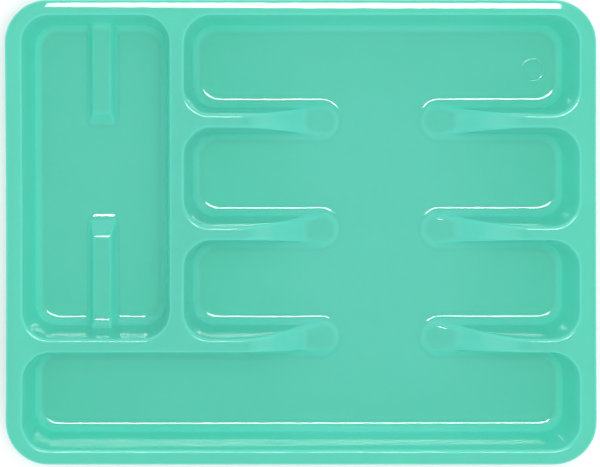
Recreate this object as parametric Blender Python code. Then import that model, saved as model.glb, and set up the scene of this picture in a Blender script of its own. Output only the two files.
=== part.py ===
"""A cutlery tray for a drawer: one thin moulded shell, hollow under its rim and dividers.

Metres, +Z up. X runs along the tray, Y across it towards the far long side, and the origin is on the surface
that the tray stands on, below the middle of its outline.
"""
import math

import bmesh
import bpy

# Driving dimensions
LENGTH = 0.385
WIDTH = 0.302
HEIGHT = 0.045
WALL = 0.0018

OUTER_CORNER = 0.0285
LIP_DEPTH = 0.0095
LIP_FLARE = 0.0003
RIM_ARCS = ((0.0060, 3.0, 1), (0.0620, 6.5, 1), (0.0021, 88.0, 4))  # radius, last tilt in degrees, steps

RIM_INNER_X = 0.1813  # from the middle to the rim's inner edge
RIM_INNER_Y = 0.1409
SPINE_X = -0.0804  # middle of the spine between the left compartment and the rows
SPINE_HALF = 0.0045
DIVIDERS_Y = (0.0722, -0.0007, -0.0735)  # middles of the three dividers, far to near
DIVIDER_HALF = 0.0043

WALL_RUN_X = 0.0102  # how far a wall leans out between the floor and the rim's edge
WALL_RUN_Y = 0.0114
ROW_END_RUN = 0.0130  # the rows' walls on the spine lean more
FLOOR_FILLET = 0.0075
RIM_EDGE_RADIUS = 0.0022
RIM_EDGE_SHARES = (1.0, 0.62, 0.30)  # the edge's tilts, as shares of the wall's slope
FLOOR_CORNER = 0.0110
CORNER_GROWTH = 0.6  # a corner's radius grows by this share of the wall's run

CHANNEL_X = 0.0550  # middle of the open channel that joins the rows
CHANNEL_HALF = 0.0240
NOSE_RADIUS = 0.0153
TAIL_END = 0.0240  # distances from the channel's middle, and the dividers' heights above the floor there
TAIL_LOW = 0.0015
TAIL_TOP = 0.0520
TAIL_HEIGHT = 0.0075
TAIL_POWER = 1.25
SCOOP_TOP = 0.0960
SCOOP_STEEP = 1.25  # rise over run where the tail ends

SUPPORT_X = -0.1320  # middle of the two raised supports in the left compartment
SUPPORT_HALF = 0.0116
SUPPORT_HEIGHT = 0.0090
SUPPORT_SLOPE = 66.0  # degrees
SUPPORT_FILLET = 0.0030
SUPPORT_ROUND = 0.0018
SUPPORT_CORNER = 0.0050
FAR_SUPPORT_END_Y = 0.0660
NEAR_SUPPORT_END_Y = 0.0132
FAR_SUPPORT_STRETCH = 0.50  # an end's slope against the sides' slope
NEAR_SUPPORT_STRETCH = 0.34
THROUGH_WALL = 0.0040  # how far a support runs on past the rim's edge or a divider's middle

FLOOR_Z = WALL
DEPTH = HEIGHT - WALL
CUT_PAST = 0.0010  # how far a cutter goes past the face that it cuts
PLATE_SHORT = 0.0040  # the bent plate stops this far before the dividers reach full height
NEARLY_ROUND = 0.95  # largest corner radius of a narrow strip, as a share of its half width

CORNER_STEPS = 5
FILLET_STEPS = 5
SCOOP_STEPS = 14


def clear_scene():
    for thing in list(bpy.data.objects):
        bpy.data.objects.remove(thing, do_unlink=True)


def plastic():
    """Glossy mint turquoise polypropylene."""
    material = bpy.data.materials.new("mint_gloss_plastic")
    material.use_nodes = True
    shader = material.node_tree.nodes["Principled BSDF"]
    shader.inputs["Base Color"].default_value = (0.105, 0.590, 0.450, 1.0)
    shader.inputs["Metallic"].default_value = 0.0
    shader.inputs["Roughness"].default_value = 0.22
    return material


# Outlines


def unit(x, y):
    length = math.hypot(x, y)
    return x / length, y / length


def rounded(corners):
    """Points round a closed outline, where each corner (x, y, radius) becomes an arc that touches both its sides."""
    points = []
    count = len(corners)
    for index in range(count):
        x, y, radius = corners[index]
        before = corners[index - 1]
        after = corners[(index + 1) % count]
        in_x, in_y = unit(x - before[0], y - before[1])
        out_x, out_y = unit(after[0] - x, after[1] - y)
        for step in range(CORNER_STEPS + 1):
            angle = 0.5 * math.pi * step / CORNER_STEPS
            back = 1.0 - math.sin(angle)
            ahead = 1.0 - math.cos(angle)
            points.append((
                x - in_x * radius * back + out_x * radius * ahead,
                y - in_y * radius * back + out_y * radius * ahead,
            ))
    return points


def rectangle(low_x, high_x, low_y, high_y, radius):
    return rounded([
        (high_x, high_y, radius),
        (low_x, high_y, radius),
        (low_x, low_y, radius),
        (high_x, low_y, radius),
    ])


def outer_outline(inset):
    """The tray's outline, moved in by inset."""
    half_x = 0.5 * LENGTH - inset
    half_y = 0.5 * WIDTH - inset
    return rectangle(-half_x, half_x, -half_y, half_y, OUTER_CORNER - inset)


def run_x(grow):
    """The walls on the short sides lean less, so their run is a share of the long walls' run."""
    return grow * WALL_RUN_X / WALL_RUN_Y


def left_outline(grow):
    """The left compartment's outline, moved out by grow from the edge of its floor."""
    side = run_x(grow) - WALL_RUN_X
    end = grow - WALL_RUN_Y
    return rectangle(
        -RIM_INNER_X - side,
        SPINE_X - SPINE_HALF + side,
        DIVIDERS_Y[2] + DIVIDER_HALF - end,
        RIM_INNER_Y + end,
        FLOOR_CORNER + CORNER_GROWTH * grow,
    )


def rows_outline(grow):
    """The rows, their channel and the near compartment as one outline, moved out by grow from the floor's edge."""
    side = run_x(grow) - WALL_RUN_X
    end = grow - WALL_RUN_Y
    right = RIM_INNER_X + side
    row_left = SPINE_X + SPINE_HALF + ROW_END_RUN * (1.0 - grow / WALL_RUN_Y)
    near_left = -RIM_INNER_X - side
    channel = CHANNEL_HALF + run_x(grow)
    corner = FLOOR_CORNER + CORNER_GROWTH * grow
    nose = NOSE_RADIUS - grow

    far = [y + DIVIDER_HALF - end for y in DIVIDERS_Y]  # edges on the far side of each divider
    near = [y - DIVIDER_HALF + end for y in DIVIDERS_Y]  # edges on the near side of each divider
    top = RIM_INNER_Y + end

    left_side = [(row_left, top, corner)]
    for level, (far_edge, near_edge) in enumerate(zip(far, near)):
        left_side.append((row_left, far_edge, corner))
        left_side.append((CHANNEL_X - channel, far_edge, nose))
        left_side.append((CHANNEL_X - channel, near_edge, nose))
        last = level == len(far) - 1
        left_side.append((near_left if last else row_left, near_edge, corner))
    left_side.append((near_left, -top, corner))

    right_side = [(right, -top, corner)]
    for far_edge, near_edge in zip(reversed(far), reversed(near)):
        right_side.append((right, near_edge, corner))
        right_side.append((CHANNEL_X + channel, near_edge, nose))
        right_side.append((CHANNEL_X + channel, far_edge, nose))
        right_side.append((right, far_edge, corner))
    right_side.append((right, top, corner))
    return rounded(left_side + right_side)


def support_outline(end_y, through_y, stretch):
    """Returns a function of the inset: a raised support's outline, from its sloping end through the end wall."""
    inward = 1.0 if through_y > end_y else -1.0

    def outline(inset):
        half = SUPPORT_HALF - inset
        end = end_y + inward * inset / stretch
        corner = min(SUPPORT_CORNER, NEARLY_ROUND * half)
        return rectangle(SUPPORT_X - half, SUPPORT_X + half, min(end, through_y), max(end, through_y), corner)

    return outline


# Profiles, as (distance out from the foot's edge, height above the floor) from the bottom to the top


def fillet(radius, steepest):
    """A hollow quarter round that starts flat and ends at the wall's own slope."""
    points = []
    for step in range(FILLET_STEPS + 1):
        angle = steepest * step / FILLET_STEPS
        points.append((radius * math.sin(angle), radius * (1.0 - math.cos(angle))))
    return points


def wall_slope(run, rise, radius):
    """The slope whose fillet and straight wall together have the run and the rise."""
    slope = math.radians(80.0)
    for turn in range(20):
        across = run - radius * math.sin(slope)
        up = rise - radius * (1.0 - math.cos(slope))
        slope = math.atan2(up, across)
    return slope


def pocket_profile():
    """A compartment's wall: fillet, straight, the rim's round edge, and on past the rim's top."""
    slope = wall_slope(WALL_RUN_Y, DEPTH, FLOOR_FILLET)
    points = fillet(FLOOR_FILLET, slope)
    centre_z = DEPTH - RIM_EDGE_RADIUS
    centre_x = WALL_RUN_Y - RIM_EDGE_RADIUS / math.tan(slope) + RIM_EDGE_RADIUS / math.sin(slope)
    for share in RIM_EDGE_SHARES:
        tilt = share * slope
        points.append((
            centre_x - RIM_EDGE_RADIUS * math.sin(tilt),
            centre_z + RIM_EDGE_RADIUS * math.cos(tilt),
        ))
    last_x, last_z = points[-1]
    past = DEPTH + CUT_PAST - last_z
    points.append((last_x + past / math.tan(RIM_EDGE_SHARES[-1] * slope), last_z + past))
    return points


def support_profile():
    """A support's side: fillet, straight and round edge, up to its flat top."""
    slope = math.radians(SUPPORT_SLOPE)
    points = fillet(SUPPORT_FILLET, slope)
    run, rise = points[-1]
    edge_rise = SUPPORT_HEIGHT - SUPPORT_ROUND * (1.0 - math.cos(slope))
    edge_run = run + (edge_rise - rise) / math.tan(slope)
    for tilt in (slope, 0.5 * slope, 0.0):
        points.append((
            edge_run + SUPPORT_ROUND * (math.sin(slope) - math.sin(tilt)),
            SUPPORT_HEIGHT - SUPPORT_ROUND * (1.0 - math.cos(tilt)),
        ))
    return points


def offset(points, distance):
    """The same profile moved out and down, at right angles to itself, by the shell's thickness."""
    moved = []
    for index, (x, z) in enumerate(points):
        before = points[max(index - 1, 0)]
        after = points[min(index + 1, len(points) - 1)]
        along_x, along_z = unit(after[0] - before[0], after[1] - before[1])
        if index == 0:
            along_x, along_z = 1.0, 0.0
        moved.append((x + distance * along_z, z - distance * along_x))
    return moved


def rim_edge():
    """The rim's outer side as (distance out, drop, tilt), from its level top to where the lip hangs."""
    points = [(0.0, 0.0, 0.0)]
    for radius, last_degrees, steps in RIM_ARCS:
        out, drop, first = points[-1]
        last = math.radians(last_degrees)
        for step in range(1, steps + 1):
            tilt = first + (last - first) * step / steps
            points.append((
                out + radius * (math.sin(tilt) - math.sin(first)),
                drop + radius * (math.cos(first) - math.cos(tilt)),
                tilt,
            ))
    return points


def scoop_height(distance):
    """Height above the floor of the dividers' tops, at a distance from the channel's middle: a tail, then a
    curve that starts steep and ends level at full height."""
    if distance < TAIL_TOP:
        share = max(distance - TAIL_END, 0.0) / (TAIL_TOP - TAIL_END)
        return TAIL_LOW + (TAIL_HEIGHT - TAIL_LOW) * share ** TAIL_POWER
    span = SCOOP_TOP - TAIL_TOP
    u = min((distance - TAIL_TOP) / span, 1.0)
    start = TAIL_HEIGHT * (1.0 - 3.0 * u ** 2 + 2.0 * u ** 3)
    climb = SCOOP_STEEP * span * (u - 2.0 * u ** 2 + u ** 3)
    finish = DEPTH * (3.0 * u ** 2 - 2.0 * u ** 3)
    return start + climb + finish


def scoop_section(reach, below, above):
    """The scoop's curve as a closed section, from below it to above it, out to reach on both sides."""
    curve = []
    for step in range(SCOOP_STEPS + 1):
        distance = TAIL_END + (reach - TAIL_END) * step / SCOOP_STEPS
        curve.append((distance, FLOOR_Z + scoop_height(distance)))
    whole = [(-distance, z) for distance, z in reversed(curve)] + curve
    low = [(CHANNEL_X + distance, z - below) for distance, z in whole]
    high = [(CHANNEL_X + distance, above(z)) for distance, z in reversed(whole)]
    return low + high


# Solids


def new_object(name, mesh, cutter=True):
    thing = bpy.data.objects.new(name, mesh)
    bpy.context.scene.collection.objects.link(thing)
    thing.hide_render = cutter
    if cutter:
        thing.display_type = "WIRE"
    return thing


def finished(name, shape, cutter=True):
    """Turns a drawn shape into an object with its faces outward."""
    bmesh.ops.recalc_face_normals(shape, faces=shape.faces)
    mesh = bpy.data.meshes.new(name)
    shape.to_mesh(mesh)
    shape.free()
    return new_object(name, mesh, cutter)


def loft(name, rings, cutter=True):
    """A closed solid through rings, given from the bottom up as (outline points, height)."""
    shape = bmesh.new()
    loops = []
    for outline, height in rings:
        loops.append([shape.verts.new((x, y, height)) for x, y in outline])
    for lower, upper in zip(loops, loops[1:]):
        count = len(lower)
        for index in range(count):
            following = (index + 1) % count
            shape.faces.new((lower[index], lower[following], upper[following], upper[index]))
    shape.faces.new(list(reversed(loops[0])))
    shape.faces.new(loops[-1])
    return finished(name, shape, cutter)


def slab(name, section, low_y, high_y):
    """A closed solid with a section in X and Z, drawn along Y."""
    shape = bmesh.new()
    face = shape.faces.new([shape.verts.new((x, low_y, z)) for x, z in section])
    drawn = bmesh.ops.extrude_face_region(shape, geom=[face])
    moved = [item for item in drawn["geom"] if isinstance(item, bmesh.types.BMVert)]
    bmesh.ops.translate(shape, verts=moved, vec=(0.0, high_y - low_y, 0.0))
    return finished(name, shape)


def boolean(target, other, operation):
    step = target.modifiers.new(operation.lower() + "_" + other.name, "BOOLEAN")
    step.operation = operation
    step.solver = "EXACT"
    step.object = other


def pocket_void(name, outline):
    """The space inside a compartment, from its floor to just past the rim."""
    return loft(name, [(outline(run), FLOOR_Z + rise) for run, rise in pocket_profile()])


def pocket_casing(name, outline):
    """A compartment's outer side as a solid, from the ground to the middle of the rim's plate."""
    profile = offset(pocket_profile()[: FILLET_STEPS + 2], WALL)
    (low_x, low_z), (high_x, high_z) = profile[-2:]
    plate_middle = DEPTH - 0.5 * WALL
    share = (plate_middle - low_z) / (high_z - low_z)
    profile[-1] = (low_x + share * (high_x - low_x), plate_middle)
    return loft(name, [(outline(run), FLOOR_Z + rise) for run, rise in profile])


def support(name, outline, thickness, bottom):
    """A support as a solid, or with a thickness the hollow under it."""
    profile = offset(support_profile(), thickness)
    rings = [(outline(profile[0][0]), bottom)]
    for run, rise in profile[1:]:
        rings.append((outline(run), FLOOR_Z + rise))
    return loft(name, rings)


def build_rim():
    """The rim's plate and its turned-down lip, open below."""
    edge = rim_edge()
    wide = edge[-1][0] + LIP_FLARE
    lip_z = HEIGHT - LIP_DEPTH
    above = [(outer_outline(0.0), lip_z)]
    below = [(outer_outline(WALL), lip_z - CUT_PAST)]
    for out, drop, tilt in reversed(edge):
        inset = wide - out
        above.append((outer_outline(inset), HEIGHT - drop))
        below.append((outer_outline(inset + WALL * math.sin(tilt)), HEIGHT - drop - WALL * math.cos(tilt)))
    rim = loft("tray_moulding", above, cutter=False)
    boolean(rim, loft("rim_underside", below), "DIFFERENCE")
    return rim


def build_tray():
    tray = build_rim()

    far_end = support_outline(FAR_SUPPORT_END_Y, RIM_INNER_Y + THROUGH_WALL, FAR_SUPPORT_STRETCH)
    near_end = support_outline(NEAR_SUPPORT_END_Y, DIVIDERS_Y[2] - THROUGH_WALL, NEAR_SUPPORT_STRETCH)

    left_casing = pocket_casing("left_casing", left_outline)
    boolean(left_casing, support("far_support_hollow", far_end, WALL, -CUT_PAST), "DIFFERENCE")
    boolean(left_casing, support("near_support_hollow", near_end, WALL, -CUT_PAST), "DIFFERENCE")
    boolean(tray, left_casing, "UNION")
    boolean(tray, pocket_casing("rows_casing", rows_outline), "UNION")

    # The lowered tops of the dividers: a bent plate across the rows, trimmed to the curve by the scoop above it.
    scoop_y = 0.5 * (DIVIDERS_Y[0] + RIM_INNER_Y)
    shell = scoop_section(SCOOP_TOP - PLATE_SHORT, WALL, lambda z: z + CUT_PAST)
    boolean(tray, slab("lowered_tops", shell, -scoop_y, scoop_y), "UNION")
    space = scoop_section(SCOOP_TOP, 0.0, lambda z: HEIGHT + 2.0 * CUT_PAST)
    boolean(tray, slab("scoop", space, -scoop_y - CUT_PAST, scoop_y + CUT_PAST), "DIFFERENCE")

    left_void = pocket_void("left_void", left_outline)
    boolean(left_void, support("far_support", far_end, 0.0, FLOOR_Z - CUT_PAST), "DIFFERENCE")
    boolean(left_void, support("near_support", near_end, 0.0, FLOOR_Z - CUT_PAST), "DIFFERENCE")
    boolean(tray, left_void, "DIFFERENCE")
    boolean(tray, pocket_void("rows_void", rows_outline), "DIFFERENCE")

    tray.data.materials.append(plastic())
    tray.data.shade_smooth()


clear_scene()
build_tray()
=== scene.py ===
import math

import bmesh
import bpy
import numpy as np
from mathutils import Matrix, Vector
from mathutils.geometry import delaunay_2d_cdt


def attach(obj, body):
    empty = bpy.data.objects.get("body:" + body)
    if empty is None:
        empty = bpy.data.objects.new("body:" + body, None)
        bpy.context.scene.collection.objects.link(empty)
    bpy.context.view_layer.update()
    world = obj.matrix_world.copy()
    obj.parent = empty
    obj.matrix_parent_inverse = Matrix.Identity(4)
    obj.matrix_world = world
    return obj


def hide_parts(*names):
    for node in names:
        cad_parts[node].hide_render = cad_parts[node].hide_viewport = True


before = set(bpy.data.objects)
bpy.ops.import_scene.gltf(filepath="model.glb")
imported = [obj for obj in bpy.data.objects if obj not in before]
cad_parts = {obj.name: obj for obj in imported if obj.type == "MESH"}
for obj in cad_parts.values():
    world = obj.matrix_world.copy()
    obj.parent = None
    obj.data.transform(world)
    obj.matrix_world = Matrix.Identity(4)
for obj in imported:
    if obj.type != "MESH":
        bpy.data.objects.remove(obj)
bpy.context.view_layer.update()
print("frame loaded")


# The tray's shell, in metres.

tray = {
    "length": 0.385,
    "width": 0.302,
    "height": 0.045,
    "wall": 0.0018,
    "outerCorner": 0.0285,
    "lipDepth": 0.0095,
    "crownArcs": ((0.0060, 3.0), (0.0620, 6.5), (0.0021, 88.0)),   # each arc's radius and last tilt
    "skirtFlare": 0.0003,
    "rimInnerX": 0.1813,
    "rimInnerY": 0.1409,
    "spineX": -0.0804,
    "spineHalf": 0.0045,
    "dividersY": (0.0722, -0.0007, -0.0735),
    "dividerHalf": 0.0043,
    "leanX": 0.0102,          # how far a wall leans out from floor to rim
    "leanY": 0.0114,
    "leanRow": 0.0130,        # the rows' walls on the spine lean more
    "fillet": 0.0075,
    "edgeRound": 0.0022,
    "sillRound": 0.0070,      # the low sills have much softer edges
    "floorCorner": 0.0110,
    "cornerGrowth": 0.6,
    "crestOut": 0.0147,       # how far out from the floor a wall's top has become level
    "levelOut": 0.0002,       # the least width left for its level end
    "fullRound": 0.6,         # a crest this share of the depth high has the sharper edge
    "channelX": 0.0550,
    "channelHalf": 0.0240,
    "noseRadius": 0.0153,
    "tailEnd": 0.0240,        # distances from the channel's middle, and heights over the floor
    "tailLow": 0.0015,
    "tailTop": 0.0520,
    "tailHeight": 0.0075,
    "tailPower": 1.25,
    "scoopTop": 0.0960,
    "scoopSteep": 1.25,
    "crestBlur": 0.003,       # the bend between tail and scoop is rounded over this distance to each side
    "bowLeft": 0.0012,        # the short sides draw in a little, most at these places in Y
    "bowRight": 0.0006,
    "bowLeftY": -0.040,
    "bowRightY": 0.035,
}
supports = {
    "x": -0.1320,
    "half": 0.0116,
    "height": 0.0090,
    "steep": 66.0,
    "fillet": 0.0030,
    "round": 0.0018,
    "corner": 0.0050,
    "farEnd": 0.0660,
    "nearEnd": 0.0132,
    "farStretch": 0.50,       # the ends slope this much more gently than the sides
    "nearStretch": 0.34,
    "sideRun": 0.0076,        # finely divided lengths: a side, the two ends and just before them
    "farRun": 0.014,
    "nearRun": 0.021,
    "early": 0.0005,
}
detail = {
    "corner": 12,             # steps round each arc
    "fillet": 11,
    "wall": 2,
    "edge": 7,
    "crown": 6,
    "skirt": 2,
    "lipRound": 5,
    "blur": 5,
    "rim": 0.009,             # spacing of the points along straights, in metres
    "crest": 0.008,
    "stem": 0.010,
    "stub": (0.0019, 0.006),  # fine and coarse spacing
    "stubPast": 0.002,        # how far the fine spacing runs on past the scoop
    "supportX": (0.00048, 0.004),
    "supportY": (0.00080, 0.006),
    "inside": 0.0006,         # width of the strip just inside a compartment's floor line
    "ledge": 0.0003,          # and of the one just inside the rim's crown
    "weld": 2e-6,
}

floorZ = tray["wall"]
depth = tray["height"] - floorZ


def unitRows(v):  # each row divided by its own length
    return v / np.linalg.norm(v, axis=-1, keepdims=True)


def outlinePoints(corners, shares):
    # A closed line: every corner (x, y, radius) becomes a quarter arc that touches both its sides, and each
    # straight between two arcs gets points at the given shares of its length.
    corners = np.asarray(corners, float)
    place, radius = corners[:, :2], corners[:, 2:]
    come = unitRows(place - np.roll(place, 1, 0))
    leave = unitRows(np.roll(place, -1, 0) - place)
    angle = np.linspace(0.0, 0.5 * math.pi, detail["corner"] + 1)[None, :, None]
    arcs = (place[:, None] - (come * radius)[:, None] * (1.0 - np.sin(angle))
            + (leave * radius)[:, None] * (1.0 - np.cos(angle)))
    starts = np.roll(arcs[:, 0], -1, 0)
    parts = []
    for arc, start, share in zip(arcs, starts, shares):
        share = np.asarray(share, float)[:, None]
        parts += [arc, arc[-1] * (1.0 - share) + start * share]
    return np.vstack(parts)


def evenShares(corners, spacing):  # straights cut into pieces of about the spacing
    corners = np.asarray(corners, float)
    gap = np.roll(corners, -1, 0) - corners
    clear = np.hypot(gap[:, 0], gap[:, 1]) - corners[:, 2] - np.roll(corners[:, 2], -1)
    counts = np.maximum(np.ceil(clear / spacing), 1).astype(int)
    return [np.arange(1, n) / n for n in counts]


def spreadStops(low, high, dense, fine, coarse):
    # Places from low to high that stand fine apart inside the dense spans and coarse apart elsewhere: the
    # running total of the wanted density is cut into equal parts.
    x = np.linspace(low, high, 4001)
    near = np.zeros_like(x)
    for a, b in dense:
        near = np.maximum(near, np.clip(1.0 - np.maximum(a - x, x - b) / (2.0 * coarse), 0.0, 1.0))
    density = (1.0 - near) / coarse + near / fine
    total = np.concatenate(([0.0], np.cumsum(0.5 * (density[1:] + density[:-1]) * np.diff(x))))
    count = max(int(round(total[-1])), 2)
    return np.interp(np.linspace(0.0, total[-1], count + 1)[1:-1], total, x)


def rectangleCorners(lowX, highX, lowY, highY, radius):
    return [(highX, highY, radius), (lowX, highY, radius), (lowX, lowY, radius), (highX, lowY, radius)]


def leftCorners(grow):  # the tall compartment, moved out by grow from its floor
    side = grow * tray["leanX"] / tray["leanY"] - tray["leanX"]
    end = grow - tray["leanY"]
    return rectangleCorners(
        -tray["rimInnerX"] - side, tray["spineX"] - tray["spineHalf"] + side,
        tray["dividersY"][2] + tray["dividerHalf"] - end, tray["rimInnerY"] + end,
        tray["floorCorner"] + tray["cornerGrowth"] * grow)


def combCorners(grow):
    # The three rows, the channel across them and the near compartment are one closed line. It runs
    # anticlockwise from the far left corner, out and back round every divider's loose end.
    side = grow * tray["leanX"] / tray["leanY"] - tray["leanX"]
    end = grow - tray["leanY"]
    right = tray["rimInnerX"] + side
    rowLeft = tray["spineX"] + tray["spineHalf"] + tray["leanRow"] * (1.0 - grow / tray["leanY"])
    noseLeft = tray["channelX"] - tray["channelHalf"] - side - tray["leanX"]
    noseRight = tray["channelX"] + tray["channelHalf"] + side + tray["leanX"]
    corner = tray["floorCorner"] + tray["cornerGrowth"] * grow
    nose = tray["noseRadius"] - grow
    top = tray["rimInnerY"] + end
    line = [(rowLeft, top, corner)]
    for y in tray["dividersY"]:
        last = y == tray["dividersY"][-1]
        farY, nearY = y + tray["dividerHalf"] - end, y - tray["dividerHalf"] + end
        line += [(rowLeft, farY, corner), (noseLeft, farY, nose), (noseLeft, nearY, nose),
                 (-right if last else rowLeft, nearY, corner)]
    line += [(-right, -top, corner), (right, -top, corner)]
    for y in reversed(tray["dividersY"]):
        farY, nearY = y + tray["dividerHalf"] - end, y - tray["dividerHalf"] + end
        line += [(right, nearY, corner), (noseRight, nearY, nose), (noseRight, farY, nose),
                 (right, farY, corner)]
    return line + [(right, top, corner)]


def crestHeight(x):
    # How high the dividers stand over the floor, from the distance to the channel's middle: a tail that
    # rises as a power, then a cubic that starts steep and ends level at full height. Heights side by side
    # are averaged, which rounds the bend between the two.
    blur = np.linspace(-tray["crestBlur"], tray["crestBlur"], detail["blur"])
    away = np.abs(np.asarray(x)[..., None] - tray["channelX"]) + blur
    start, top, foot = tray["tailEnd"], tray["tailTop"], tray["tailHeight"]
    share = np.clip((away - start) / (top - start), 0.0, 1.0)
    tail = tray["tailLow"] + (foot - tray["tailLow"]) * share ** tray["tailPower"]
    span = tray["scoopTop"] - top
    u = np.clip((away - top) / span, 0.0, 1.0)
    rest = (foot * (1.0 - 3.0 * u ** 2 + 2.0 * u ** 3)
            + tray["scoopSteep"] * span * (u - 2.0 * u ** 2 + u ** 3)
            + depth * (3.0 * u ** 2 - 2.0 * u ** 3))
    return np.where(away < top, tail, rest).mean(-1)


def wallTilt():
    # The tilt at which a fillet's arc and the straight above it together lean out by leanY at the rim.
    tilt = math.radians(80.0)
    for turn in range(30):
        across = tray["leanY"] - tray["fillet"] * math.sin(tilt)
        tilt = math.atan2(depth - tray["fillet"] * (1.0 - math.cos(tilt)), across)
    return tilt


def wallProfile(rise, lift):
    # One wall from the floor to its crest: a hollow arc, a straight, a round edge and a level end. rise
    # is the crest's height above the floor and lift the height of a raised floor, one number for each
    # point of the line. A crest too low for the straight gets the two arcs only, which then meet at a
    # smaller tilt.
    steep = wallTilt()
    low = tray["fillet"]
    free = rise - lift
    share = np.clip(free / (tray["fullRound"] * depth), 0.0, 1.0)
    high = tray["sillRound"] + (tray["edgeRound"] - tray["sillRound"]) * share * share * (3.0 - 2.0 * share)
    used = low * math.sin(steep) + (free - low * (1.0 - math.cos(steep))) / math.tan(steep)
    room = tray["crestOut"] - tray["levelOut"] - used
    most = room / (math.sin(steep) - (1.0 - math.cos(steep)) / math.tan(steep))
    high = np.minimum(high, most)[:, None]
    tilt = np.minimum(steep, np.arccos(np.clip(1.0 - free[:, None] / (low + high), -1.0, 1.0)))
    straight = np.maximum(free[:, None] - (low + high) * (1.0 - np.cos(tilt)), 0.0) / np.sin(tilt)
    shift = (lift / math.tan(steep))[:, None]
    a = tilt * np.linspace(0.0, 1.0, detail["fillet"] + 1)
    outA, upA = low * np.sin(a), low * (1.0 - np.cos(a))
    part = straight * np.linspace(0.0, 1.0, detail["wall"] + 2)[1:-1]
    outB, upB = outA[:, -1:] + part * np.cos(tilt), upA[:, -1:] + part * np.sin(tilt)
    baseOut = outA[:, -1:] + straight * np.cos(tilt)
    baseUp = upA[:, -1:] + straight * np.sin(tilt)
    b = tilt * np.linspace(1.0, 0.0, detail["edge"] + 1)
    outC = baseOut + high * (np.sin(tilt) - np.sin(b))
    upC = baseUp + high * (np.cos(b) - np.cos(tilt))
    out = np.hstack([outA, outB, outC]) + shift
    up = np.hstack([upA, upB, upC]) + lift[:, None]
    level = out[:, -1:] + (tray["crestOut"] - out[:, -1:]) * np.array([[0.5, 1.0]])
    return np.hstack([out, level]), np.hstack([up, up[:, -1:], up[:, -1:]])


def supportLift(x, y):
    # Height of the raised supports over the floor: the same arc, straight and round edge as a wall's,
    # taken at the distance inside a round-cornered strip that runs on through the end wall.
    steep = math.radians(supports["steep"])
    low, high, top = supports["fillet"], supports["round"], supports["height"]
    q1 = low * math.sin(steep)
    z1 = low * (1.0 - math.cos(steep))
    z2 = top - high * (1.0 - math.cos(steep))
    q2 = q1 + (z2 - z1) / math.tan(steep)
    q3 = q2 + high * math.sin(steep)

    def strip(along):
        half, corner = supports["half"], supports["corner"]
        dx = np.abs(x - supports["x"]) - half + corner
        dy = corner - along
        outside = np.hypot(np.maximum(dx, 0.0), np.maximum(dy, 0.0)) + np.minimum(np.maximum(dx, dy), 0.0)
        q = np.clip(corner - outside, 0.0, q3)
        hollow = low - np.sqrt(np.maximum(low * low - np.minimum(q, q1) ** 2, 0.0))
        straight = z1 + (q - q1) * math.tan(steep)
        rounded = top - high + np.sqrt(np.maximum(high * high - (q3 - np.maximum(q, q2)) ** 2, 0.0))
        return np.where(q < q1, hollow, np.where(q < q2, straight, rounded))

    far = strip((y - supports["farEnd"]) * supports["farStretch"])
    near = strip((supports["nearEnd"] - y) * supports["nearStretch"])
    return np.maximum(far, near)


def gridFaces(first, rows, columns, closed):
    # Four-cornered faces of a grid whose points are numbered row by row, a row being one point of the line.
    r = np.arange(rows if closed else rows - 1)[:, None]
    c = np.arange(columns - 1)[None, :]
    after = (r + 1) % rows
    a, b = r * columns + c, after * columns + c
    return first + np.stack([a, a + 1, b + 1, b], -1).reshape(-1, 4)


def pocketRings(corners, shares, rise, lift):
    # A wall's profile carried round a compartment's floor line. Each point moves out in proportion to the
    # profile's own distance, so a corner widens as it climbs, and its height follows the crest's height
    # at the point's own place, so that a divider's loose end runs down without a step.
    reach = tray["crestOut"]
    base = outlinePoints(corners(0.0), shares)
    outer = outlinePoints(corners(reach), shares)
    out, up = wallProfile(rise(outer), lift(base))
    inside = np.full((len(base), 1), -detail["inside"])
    out, up = np.hstack([inside, out]), np.hstack([up[:, :1], up])
    xy = base[:, None] + (outer - base)[:, None] * (out / reach)[..., None]
    up = up * rise(xy) / rise(outer)[:, None]
    if lift(base).any():
        up[:, 0] = lift(xy[:, 0])
    return np.dstack([xy, floorZ + up])


def insideLoop(spots, loop):
    # A spot is inside a closed line if a ray from it towards +X crosses the line an odd number of times.
    x, y = spots[:, :1], spots[:, 1:2]
    x0, y0 = loop[:, 0], loop[:, 1]
    x1, y1 = np.roll(x0, -1), np.roll(y0, -1)
    spans = (y0 > y) != (y1 > y)
    cross = x0 + (y - y0) * (x1 - x0) / np.where(y1 == y0, 1.0, y1 - y0)
    return (spans & (cross > x)).sum(1) % 2 == 1


def fillFlat(points, *holes):
    # Triangles over a flat outline with holes, all facing up: every line of the outline is kept as an edge.
    loops = [points, *holes]
    every = np.vstack(loops)
    starts = np.cumsum([0] + [len(loop) for loop in loops])
    rims = [[(a, first + (a + 1 - first) % (last - first)) for a in range(first, last)]
            for first, last in zip(starts[:-1], starts[1:])]
    made = delaunay_2d_cdt([Vector(p) for p in every[:, :2].tolist()], sum(rims, []), [], 1, 1e-9)
    origin = np.array([place[0] for place in made[3]])
    tri = origin[np.array(made[2])]
    a, b, c = every[tri[:, 0], :2], every[tri[:, 1], :2], every[tri[:, 2], :2]
    area = (b - a)[:, 0] * (c - a)[:, 1] - (b - a)[:, 1] * (c - a)[:, 0]
    tri[area < 0.0] = tri[area < 0.0][:, ::-1]
    middle = (a + b + c) / 3.0
    keep = insideLoop(middle, points)
    for hole in holes:
        keep &= ~insideLoop(middle, hole)
    return every, tri[keep]


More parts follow.
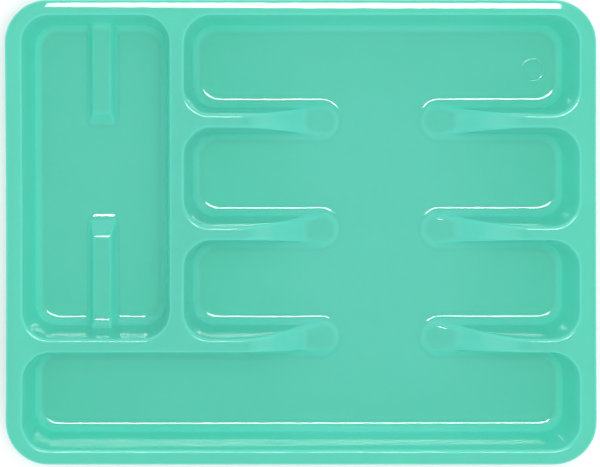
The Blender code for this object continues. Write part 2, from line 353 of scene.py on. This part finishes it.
def crownRings():
    # The rim's outer side: arcs of growing tilt, laid end to end from the level rim outwards, and then a
    # short skirt that flares to the outline, carried round the tray.
    across, drop, tilt = [0.0], [0.0], 0.0
    for radius, last in tray["crownArcs"]:
        last = math.radians(last)
        a = np.linspace(tilt, last, detail["crown"] + 1)[1:]
        across = np.concatenate((across, across[-1] + radius * (np.sin(a) - math.sin(tilt))))
        drop = np.concatenate((drop, drop[-1] + radius * (math.cos(tilt) - np.cos(a))))
        tilt = last
    wide = across[-1] + tray["skirtFlare"]
    down = np.linspace(0.0, 1.0, detail["skirt"] + 1)[1:]
    inset = np.concatenate(([wide + detail["ledge"]], wide - across, tray["skirtFlare"] * (1.0 - down)))
    skirt = tray["lipDepth"] - 0.5 * tray["wall"] - drop[-1]
    z = tray["height"] - np.concatenate(([0.0], drop, drop[-1] + down * skirt))

    def corners(i):
        halfX, halfY = 0.5 * tray["length"] - i, 0.5 * tray["width"] - i
        return rectangleCorners(-halfX, halfX, -halfY, halfY, tray["outerCorner"] - i)

    shares = evenShares(corners(0.0), detail["rim"])
    base, inner = outlinePoints(corners(0.0), shares), outlinePoints(corners(wide), shares)
    xy = base[:, None] + (inner - base)[:, None] * (inset / wide)[None, :, None]
    return np.dstack([xy, np.broadcast_to(z, xy.shape[:2])])


def roundPatch(edge, counts):
    # A grid stretched over a closed line: the mean of the lines ruled across it each way, less the corners'
    # own share. counts are its steps along X and Y.
    nx, ny = counts
    top, left = edge[:nx + 1][::-1], edge[nx:nx + ny + 1][::-1]
    bottom, right = edge[nx + ny:2 * nx + ny + 1], np.vstack([edge[2 * nx + ny:], edge[:1]])
    u = ((top[:, 0] - top[0, 0]) / (top[-1, 0] - top[0, 0]))[:, None, None]
    v = ((left[:, 1] - left[0, 1]) / (left[-1, 1] - left[0, 1]))[None, :, None]
    ruled = (1 - v) * bottom[:, None] + v * top[:, None] + (1 - u) * left[None] + u * right[None]
    cornersPart = ((1 - u) * (1 - v) * bottom[0] + u * (1 - v) * bottom[-1]
                   + (1 - u) * v * top[0] + u * v * top[-1])
    return ruled - cornersPart


def stopsBetween(first, last, dense, spacing):  # the same places, in the order from first to last
    stops = spreadStops(min(first, last), max(first, last), dense, *spacing)
    return stops if last > first else stops[::-1]


def stubStops(root, tip):
    # Places along a divider from its root to its loose end, close together where its top slopes.
    near, far = tray["tailEnd"], tray["scoopTop"] + detail["stubPast"]
    middle = tray["channelX"]
    slopes = [(middle + near, middle + far), (middle - far, middle - near)]
    return stopsBetween(root, tip, slopes, detail["stub"])


def buildSheet():
    # The tray's upper side as one sheet, in parts that share their edge points: the compartments' walls carried
    # round their floor lines, flat fills for the floors and the rim, ribbons over the dividers' loose tops, a
    # grid over the raised supports and the rings of the rim's outer side.
    points, faces, triangles = [], [], []
    total = 0

    def addGrid(grid, closed):
        nonlocal total
        rows, columns = grid.shape[:2]
        points.append(grid.reshape(-1, 3))
        faces.append(gridFaces(total, rows, columns, closed))
        total += rows * columns

    def addTriangles(flat, tri):
        nonlocal total
        points.append(flat)
        triangles.append(tri + total)
        total += len(flat)

    # rows, channel and near compartment
    reach = tray["crestOut"]
    crest = np.array(combCorners(reach))
    shares = evenShares(crest, detail["crest"])
    plain = (detail["stem"], detail["stem"])
    arc = detail["corner"] + 1
    roots = []
    # Both sides of a divider get the same places along X, from its root (the stem) to its loose end, so that the
    # ribbon over its top has straight rungs. Where one side starts before the stem, it gets plain places there.
    for n in range(3):
        for first in (1 + 4 * n, 15 + 4 * n):
            goingOut, goingBack = first, first + 2
            a, b = crest[goingOut], crest[goingOut + 1]
            c, d = crest[goingBack], crest[goingBack + 1]
            turn = np.sign(b[0] - a[0])
            ends = (a[0] + turn * a[2], b[0] - turn * b[2])
            back = (c[0] - turn * c[2], d[0] + turn * d[2])
            stem = ends[0] if abs(ends[0] - ends[1]) < abs(back[0] - back[1]) else back[1]
            stops = stubStops(stem, ends[1])
            shareOut, shareBack = stops, stops[::-1]
            if abs(stem - ends[0]) > detail["weld"]:
                shareOut = np.concatenate((stopsBetween(ends[0], stem, [], plain), [stem], shareOut))
            if abs(stem - back[1]) > detail["weld"]:
                shareBack = np.concatenate((shareBack, [stem], stopsBetween(stem, back[1], [], plain)))
            shares[goingOut] = (shareOut - ends[0]) / (ends[1] - ends[0])
            shares[goingBack] = (shareBack - back[0]) / (back[1] - back[0])
            roots.append((first, len(shareOut) - len(stops), len(stops)))
    comb = pocketRings(combCorners, shares, lambda p: crestHeight(p[..., 0]) + stemRise(p),
                       lambda p: np.zeros(len(p)))
    addGrid(comb, True)
    addTriangles(*fillFlat(comb[:, 0]))

    offsets = np.cumsum([0] + [arc + len(s) for s in shares])
    keep = np.ones(len(comb), bool)
    for first, skipped, count in roots:
        # from the stem, out along one side, round the nose and back along the other
        begin = offsets[first] + arc - 1 + skipped
        half = count + 1 + arc
        middle = len(shares[first + 1])
        end = begin + 2 * half + middle - 1
        out = comb[begin:begin + half, -1]
        back = comb[end - half + 1:end + 1, -1][::-1]
        addGrid(np.stack([out, back], 1), False)
        if middle:
            cap = comb[begin + half - 1:end - half + 2, -1]
            addTriangles(*fillFlat(cap))
        keep[begin + 1:end] = False
    combEdge = comb[keep, -1]

    # tall compartment with its two supports
    (highX, highY, corner), (lowX, lowY, corner) = leftCorners(0.0)[::2]
    x0, x1, y0, y1 = lowX + corner, highX - corner, lowY + corner, highY - corner
    middle, half, side = supports["x"], supports["half"], supports["sideRun"]
    farEnd, nearEnd = supports["farEnd"], supports["nearEnd"]
    farRun, nearRun, early = supports["farRun"], supports["nearRun"], supports["early"]
    sides = [(middle - half, middle - half + side), (middle + half - side, middle + half)]
    ends = [(farEnd - early, farEnd + farRun), (nearEnd - nearRun, nearEnd + early)]
    xs = spreadStops(x0, x1, sides, *detail["supportX"])
    ys = spreadStops(y0, y1, ends, *detail["supportY"])
    leftShares = [(x1 - xs[::-1]) / (x1 - x0), (y1 - ys[::-1]) / (y1 - y0), (xs - x0) / (x1 - x0),
                  (ys - y0) / (y1 - y0)]
    left = pocketRings(leftCorners, leftShares, lambda p: np.full(p.shape[:-1], depth),
                       lambda p: supportLift(p[:, 0], p[:, 1]))
    addGrid(left, True)
    turn = detail["corner"] // 2
    edge = np.roll(left[:, 0, :2], -turn, 0)
    counts = (detail["corner"] + len(xs) + 1, detail["corner"] + len(ys) + 1)
    patch = roundPatch(edge, counts)
    lifted = np.dstack([patch, floorZ + supportLift(patch[..., 0], patch[..., 1])])
    addGrid(lifted[::-1], False)

    # rim
    crown = crownRings()
    addGrid(crown, True)
    addTriangles(*fillFlat(crown[:, 0], left[:, -1], combEdge))
    return np.vstack(points), np.vstack(faces), np.vstack(triangles)


def stemRise(p):  # only the dividers' own stretch drops; every other wall keeps its full height
    inside = np.abs(p[..., 1]) < 0.5 * (tray["dividersY"][0] + tray["rimInnerY"])
    return np.where(inside, 0.0, depth - crestHeight(p[..., 0]))


def meshFrom(name, points, faces, triangles=()):
    mesh = bpy.data.meshes.new(name)
    mesh.from_pydata(points.tolist(), [], [*np.asarray(faces).tolist(), *np.asarray(triangles).tolist()])
    mesh.update()
    return mesh


def drawnIn(points):
    # The short sides bow inwards: X shrinks by a share that is greatest halfway along a side and grows
    # with the distance from the middle.
    x, y = points[:, 0], points[:, 1]
    half = 0.5 * tray["length"]
    reach = (np.abs(x) / half) ** 3
    lowSpot = np.where(x < 0.0, tray["bowLeftY"], tray["bowRightY"])
    along = np.clip(1.0 - ((y - lowSpot) / (0.5 * tray["width"] + np.abs(lowSpot))) ** 2, 0.0, 1.0)
    amount = np.where(x < 0.0, tray["bowLeft"], tray["bowRight"]) * along * reach
    return np.column_stack([x - np.sign(x) * amount, points[:, 1:]])


def markSteep(mesh):
    # Stores how steep the surface stands at each point, as the sine of its tilt, for the plastic to read; the
    # plastic uses it to paint the steep walls paler, as painted light.
    normals = np.empty(3 * len(mesh.vertices))
    mesh.vertex_normals.foreach_get("vector", normals)
    level = normals.reshape(-1, 3)[:, 2]
    steep = mesh.attributes.new("steep", "FLOAT", "POINT")
    steep.data.foreach_set("value", np.sqrt(np.clip(1.0 - level ** 2, 0.0, 1.0)))


def buildTray():
    # The shell: the sheet, the same sheet moved inwards by the wall and turned over, and half a round strip
    # round the lip that joins the two.
    points, faces, triangles = buildSheet()
    sheet = meshFrom("tray_sheet", points, faces, triangles)
    shape = bmesh.new()
    shape.from_mesh(sheet)
    bmesh.ops.remove_doubles(shape, verts=shape.verts, dist=detail["weld"])
    shape.normal_update()
    shape.to_mesh(sheet)
    rim = np.array([v.index for v in shape.verts if v.is_boundary])
    shape.free()
    count = len(sheet.vertices)
    outer, normals = np.empty(3 * count), np.empty(3 * count)
    sheet.vertices.foreach_get("co", outer)
    sheet.vertex_normals.foreach_get("vector", normals)
    outer, normals = outer.reshape(-1, 3), normals.reshape(-1, 3)
    inner = outer - tray["wall"] * normals

    corners = [np.array(f.vertices[:]) for f in sheet.polygons]
    fours = np.array([c for c in corners if len(c) == 4])
    threes = np.array([c for c in corners if len(c) == 3])

    rim = rim[np.argsort(np.arctan2(outer[rim, 1], outer[rim, 0]))]
    steps = detail["lipRound"]
    a = np.linspace(0.0, math.pi, steps + 1)[1:-1][None, :, None]
    out = unitRows(normals[rim] * (1.0, 1.0, 0.0))[:, None]
    middle = 0.5 * (outer[rim] + inner[rim])[:, None]
    strip = middle + 0.5 * tray["wall"] * (np.cos(a) * out + np.sin(a) * np.array([0.0, 0.0, -1.0]))
    stripAt = 2 * count + np.arange(strip.shape[0] * strip.shape[1]).reshape(strip.shape[:2])
    number = np.column_stack([rim, stripAt, rim + count])
    after = np.roll(number, -1, 0)
    lip = np.stack([number[:, :-1], number[:, 1:], after[:, 1:], after[:, :-1]], -1).reshape(-1, 4)

    every = drawnIn(np.vstack([outer, inner, strip.reshape(-1, 3)]))
    mesh = meshFrom("mint_tray", every, np.vstack([fours, fours[:, ::-1] + count, lip]),
                    np.vstack([threes, threes[:, ::-1] + count]))
    mesh.shade_smooth()
    bpy.data.meshes.remove(sheet)
    markSteep(mesh)
    return mesh


def addPiece(name, mesh, material):
    piece = bpy.data.objects.new(name, mesh)
    bpy.context.scene.collection.objects.link(piece)
    mesh.materials.append(material)
    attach(piece, "root")
    return piece


class Number:
    # A value inside a material: adding or multiplying puts in the Math node that does it.
    def __init__(self, finish, socket):
        self.finish, self.socket = finish, socket

    def worked(self, operation, first, second):
        return self.finish.node("ShaderNodeMath", {"operation": operation}, {0: first, 1: second})

    def __add__(self, other):
        return self.worked("ADD", self, other)

    def __radd__(self, other):
        return self.worked("ADD", other, self)

    def __mul__(self, other):
        return self.worked("MULTIPLY", self, other)

    def __rmul__(self, other):
        return self.worked("MULTIPLY", other, self)


class Finish:
    def __init__(self, name):
        self.material = bpy.data.materials.new(name)
        self.material.use_nodes = True
        self.tree = self.material.node_tree
        self.shader = self.tree.nodes["Principled BSDF"]

    def put(self, socket, value):
        if isinstance(value, Number):
            self.tree.links.new(value.socket, socket)
        else:
            socket.default_value = value

    def node(self, kind, settings, inputs, output=0):
        made = self.tree.nodes.new(kind)
        for name, value in settings.items():
            if name == "stops":
                for stop, (position, shade) in zip(made.color_ramp.elements, value):
                    stop.position, stop.color = position, (shade, shade, shade, 1.0)
            else:
                setattr(made, name, value)
        for name, value in inputs.items():
            self.put(made.inputs[name], value)
        return Number(self, made.outputs[output])

    def place(self, stretch=(1.0, 1.0, 1.0), turn=(0.0, 0.0, 0.0)):
        spot = self.node("ShaderNodeTexCoord", {}, {}, "Object")
        return self.node("ShaderNodeMapping", {}, {"Vector": spot, "Scale": stretch, "Rotation": turn})

    def noise(self, spot, scale, fine=2.0, rough=0.5):
        return self.node("ShaderNodeTexNoise", {}, {"Vector": spot, "Scale": scale, "Detail": fine,
                                                    "Roughness": rough})

    def ramp(self, value, stops):
        return self.node("ShaderNodeValToRGB", {"stops": stops}, {"Fac": value})

    def blend(self, share, first, second):
        return self.node("ShaderNodeMix", {"data_type": "RGBA"}, {0: share, 6: first, 7: second}, 2)


plastic = {
    "colour": (0.100, 0.572, 0.438, 1.0),
    "deeper": (0.093, 0.555, 0.423, 1.0),
    "paler": (0.109, 0.590, 0.455, 1.0),
    "mottle": 0.35,           # how much of the deeper and paler colours shows
    "thin": (0.185, 0.840, 0.690, 1.0),   # painted light: the steep walls are painted this paler colour, standing in for the light they catch and pass through
    "thinShare": 0.80,
    "thinSteep": (0.28, 0.92),
    "through": 0.5,           # how much light goes into the plastic, and how far in metres
    "throughColour": (0.5, 1.0, 0.85),
    "throughDepth": 0.006,
    "bend": 1.49,
    "gloss": 0.038,
    "glossChange": 0.03,
    "rubbed": 0.03,
    "waves": 0.00003,         # height of the slow unevenness left by moulding
    "grain": 0.0000008,
    "cloudScale": 14.0,
    "speckScale": 1300.0,
    "waveScale": 22.0,
    "grainScale": 900.0,
    "flowStretch": (5.0, 55.0, 25.0),
    "flowTurn": (0.0, 0.0, 0.12),
    "rubStretch": (18.0, 420.0, 60.0),
    "rubTurn": (0.0, 0.0, 0.30),
}


def mintPlastic(name, through):
    # Glossy moulded plastic: slow clouds and drawn-out flow marks in the colour, hairline rubs in the
    # gloss, and a skin that is slightly wavy and very finely grained. Steep places are painted paler, as painted
    # light.
    finish = Finish(name)
    spot = finish.place()
    clouds = finish.noise(spot, plastic["cloudScale"], 3.0, 0.55)
    flow = finish.noise(finish.place(plastic["flowStretch"], plastic["flowTurn"]), 1.0, 3.0, 0.5)
    specks = finish.noise(spot, plastic["speckScale"], 1.0, 0.5)
    change = finish.ramp(clouds * 0.55 + flow * 0.30 + specks * 0.15, [(0.38, 0.0), (0.62, 1.0)])
    mottled = finish.blend(change, plastic["deeper"], plastic["paler"])
    colour = finish.blend(plastic["mottle"], plastic["colour"], mottled)
    # painted light: the steep walls are blended towards a paler colour that stands in for the light they catch
    # and pass through
    steep = finish.node("ShaderNodeAttribute", {"attribute_name": "steep"}, {}, "Fac")
    low, high = plastic["thinSteep"]
    thin = finish.ramp(steep, [(low, 0.0), (high, 1.0)])
    colour = finish.blend(thin * plastic["thinShare"], colour, plastic["thin"])
    rubs = finish.noise(finish.place(plastic["rubStretch"], plastic["rubTurn"]), 1.0, 2.0, 0.6)
    rubs = finish.ramp(rubs, [(0.58, 0.0), (0.74, 1.0)])
    uneven = plastic["glossChange"] * (0.5 * clouds + 0.25 * flow)
    rough = plastic["gloss"] + uneven + plastic["rubbed"] * rubs
    waves = finish.noise(spot, plastic["waveScale"], 1.0, 0.4) * plastic["waves"]
    grain = finish.noise(spot, plastic["grainScale"], 2.0) * plastic["grain"]
    bump = finish.node("ShaderNodeBump", {}, {"Height": waves + grain, "Strength": 1.0, "Distance": 1.0})
    finish.put(finish.shader.inputs["Base Color"], colour)
    finish.put(finish.shader.inputs["Roughness"], rough)
    finish.put(finish.shader.inputs["Normal"], bump)
    finish.shader.inputs["IOR"].default_value = plastic["bend"]
    finish.shader.inputs["Subsurface Weight"].default_value = through
    finish.shader.inputs["Subsurface Radius"].default_value = plastic["throughColour"]
    finish.shader.inputs["Subsurface Scale"].default_value = plastic["throughDepth"]
    return finish.material


glossMint = mintPlastic("glossMint", plastic["through"])
print("plastic made")

trayMesh = buildTray()
trayPiece = addPiece("mint_tray", trayMesh, glossMint)
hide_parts("tray_moulding")
trayMesh.calc_loop_triangles()
print("tray made:", len(trayMesh.vertices), "points,", len(trayMesh.loop_triangles), "triangles")


mark = {
    "x": 0.1583,
    "y": 0.1066,
    "radius": 0.0074,
    "wide": 0.0006,           # half its width, and its height over the floor
    "proud": 0.00008,
    "around": 96,
    "across": 10,
}


def ringMark():
    # A low round bead: a small oval carried round a circle, sunk halfway into the floor.
    a = np.linspace(0.0, 2.0 * math.pi, mark["around"], endpoint=False)[:, None]
    b = np.linspace(0.0, 2.0 * math.pi, mark["across"], endpoint=False)[None, :]
    r = mark["radius"] + mark["wide"] * np.cos(b)
    z = floorZ + mark["proud"] * np.sin(b) + 0.0 * a
    points = np.dstack([mark["x"] + r * np.cos(a), mark["y"] + r * np.sin(a), z]).reshape(-1, 3)
    i, j = np.arange(mark["around"])[:, None], np.arange(mark["across"])[None, :]
    i2, j2 = (i + 1) % mark["around"], (j + 1) % mark["across"]
    n = mark["across"]
    faces = np.stack([i * n + j, i2 * n + j, i2 * n + j2, i * n + j2], -1).reshape(-1, 4)
    mesh = meshFrom("moulded_ring", points, faces)
    mesh.shade_smooth()
    return mesh


beadMint = mintPlastic("glossMintBead", 0.0)
addPiece("moulded_ring", ringMark(), beadMint)
print("ring made")


studio = {
    "floorColour": (0.97, 0.97, 0.97, 1.0),
    "sky": 0.66,
    "keyPlace": (0.08, 0.10, 1.95),
    "keySize": (1.0, 0.8),
    "keyPower": 20.0,
    "stripPlace": (0.10, 0.645, 1.92),
    "stripSize": (1.05, 0.32),
    "stripPower": 27.0,
    "cameraPlace": (-0.0373, 0.0695, 0.045 + 0.993),
    "lens": 92.1,
    "shift": (0.0950, -0.1808),
}


def paleFloor():
    side = 2.0
    corners = np.array([(-side, -side, 0.0), (side, -side, 0.0), (side, side, 0.0), (-side, side, 0.0)])
    mesh = meshFrom("pale_floor", corners - (0.0, 0.0, 0.0002), [[0, 1, 2, 3]])
    finish = Finish("palePaper")
    tone = finish.noise(finish.place(), 3.0, 2.0)
    shade = studio["floorColour"]
    finish.put(finish.shader.inputs["Base Color"],
               finish.blend(tone, [0.99 * shade[0], 0.99 * shade[1], 0.99 * shade[2], 1.0], shade))
    finish.shader.inputs["Roughness"].default_value = 0.8
    finish.shader.inputs["IOR"].default_value = 1.2
    mesh.materials.append(finish.material)
    floor = bpy.data.objects.new("pale_floor", mesh)
    bpy.context.scene.collection.objects.link(floor)


def softLight(name, place, size, power, aim=(0.0, 0.0, 0.02)):
    lamp = bpy.data.lights.new(name, "AREA")
    lamp.shape = "RECTANGLE"
    lamp.size, lamp.size_y = size
    lamp.energy = power
    light = bpy.data.objects.new(name, lamp)
    light.location = place
    light.rotation_euler = (Vector(aim) - Vector(place)).to_track_quat("-Z", "Y").to_euler()
    bpy.context.scene.collection.objects.link(light)
    return light


def whiteRoom():
    world = bpy.data.worlds.new("whiteRoom")
    world.use_nodes = True
    world.node_tree.nodes["Background"].inputs["Color"].default_value = (1.0, 1.0, 1.0, 1.0)
    world.node_tree.nodes["Background"].inputs["Strength"].default_value = studio["sky"]
    bpy.context.scene.world = world


paleFloor()
whiteRoom()
key = softLight("soft_key", studio["keyPlace"], studio["keySize"], studio["keyPower"])
key.visible_glossy = False
strip = softLight("strip_glint", studio["stripPlace"], studio["stripSize"], studio["stripPower"])
strip.visible_diffuse = False
lens = bpy.data.cameras.new("overhead")
lens.lens, lens.sensor_width = studio["lens"], 36.0
lens.shift_x, lens.shift_y = studio["shift"]
camera = bpy.data.objects.new("overhead", lens)
camera.location = studio["cameraPlace"]
bpy.context.scene.collection.objects.link(camera)
bpy.context.scene.camera = camera
bpy.context.scene.view_settings.view_transform = "Standard"
print("studio ready")
